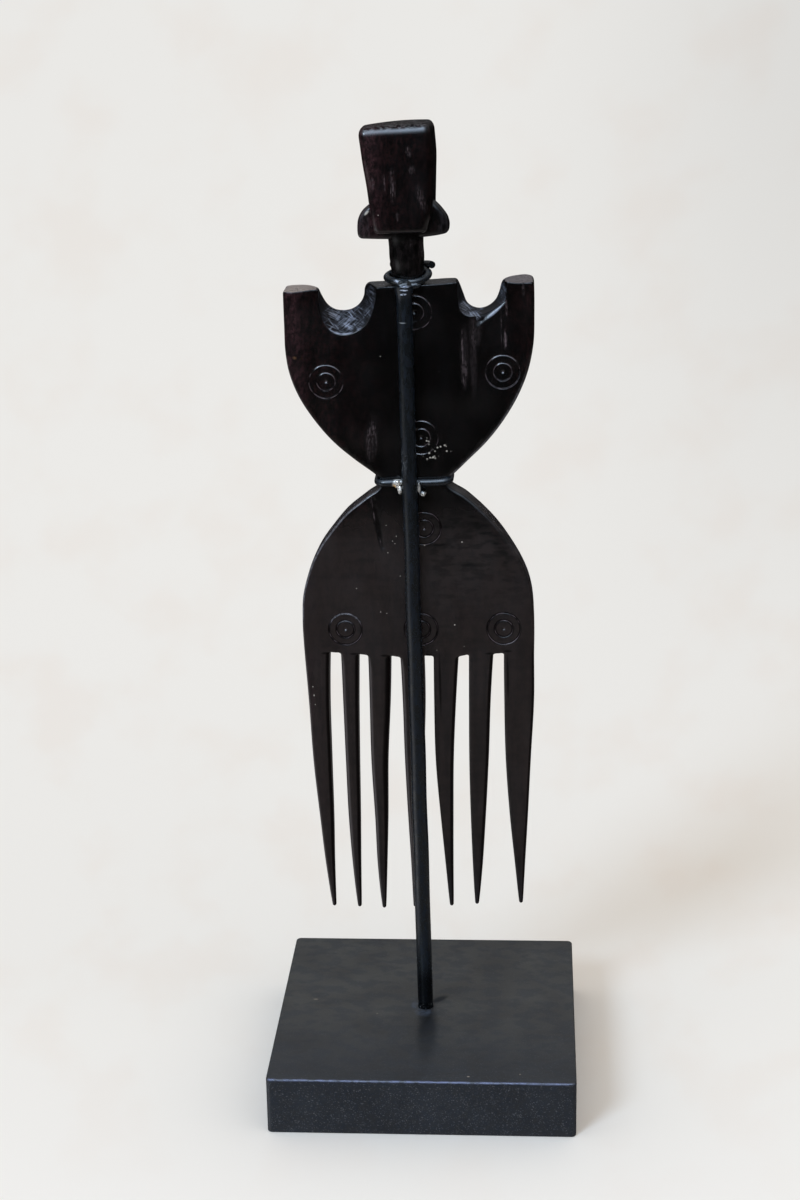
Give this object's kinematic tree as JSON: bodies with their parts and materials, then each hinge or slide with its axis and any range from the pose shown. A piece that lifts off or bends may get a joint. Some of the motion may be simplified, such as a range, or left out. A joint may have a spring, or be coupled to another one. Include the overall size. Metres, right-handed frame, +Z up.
{
  "type": "carved comb on stand",
  "caption": "Carved dark wood comb with a shield-shaped upper body and long tapered teeth, held upright by wire loops on a plain square stand.",
  "frame": {"origin": "centre of the base's underside", "axes": "+Z up from the surface that the stand rests on, along the comb; +X to the right and +Y to the back, seen from the front, where the rod is before the comb"},
  "size_m": [0.08, 0.08, 0.2528],
  "materials": {
    "comb_wood": "hand-carved dark hardwood, rubbed to a soft sheen",
    "holder_steel": "satin blue-black paint over welded steel rod and wire",
    "base_paint": "wooden block under matt black paint with a fine speckle"
  },
  "bodies": {
    "root": {"comb": "comb_wood", "stand_holder": "holder_steel", "stand_base": "base_paint"}
  },
  "joints": []
}
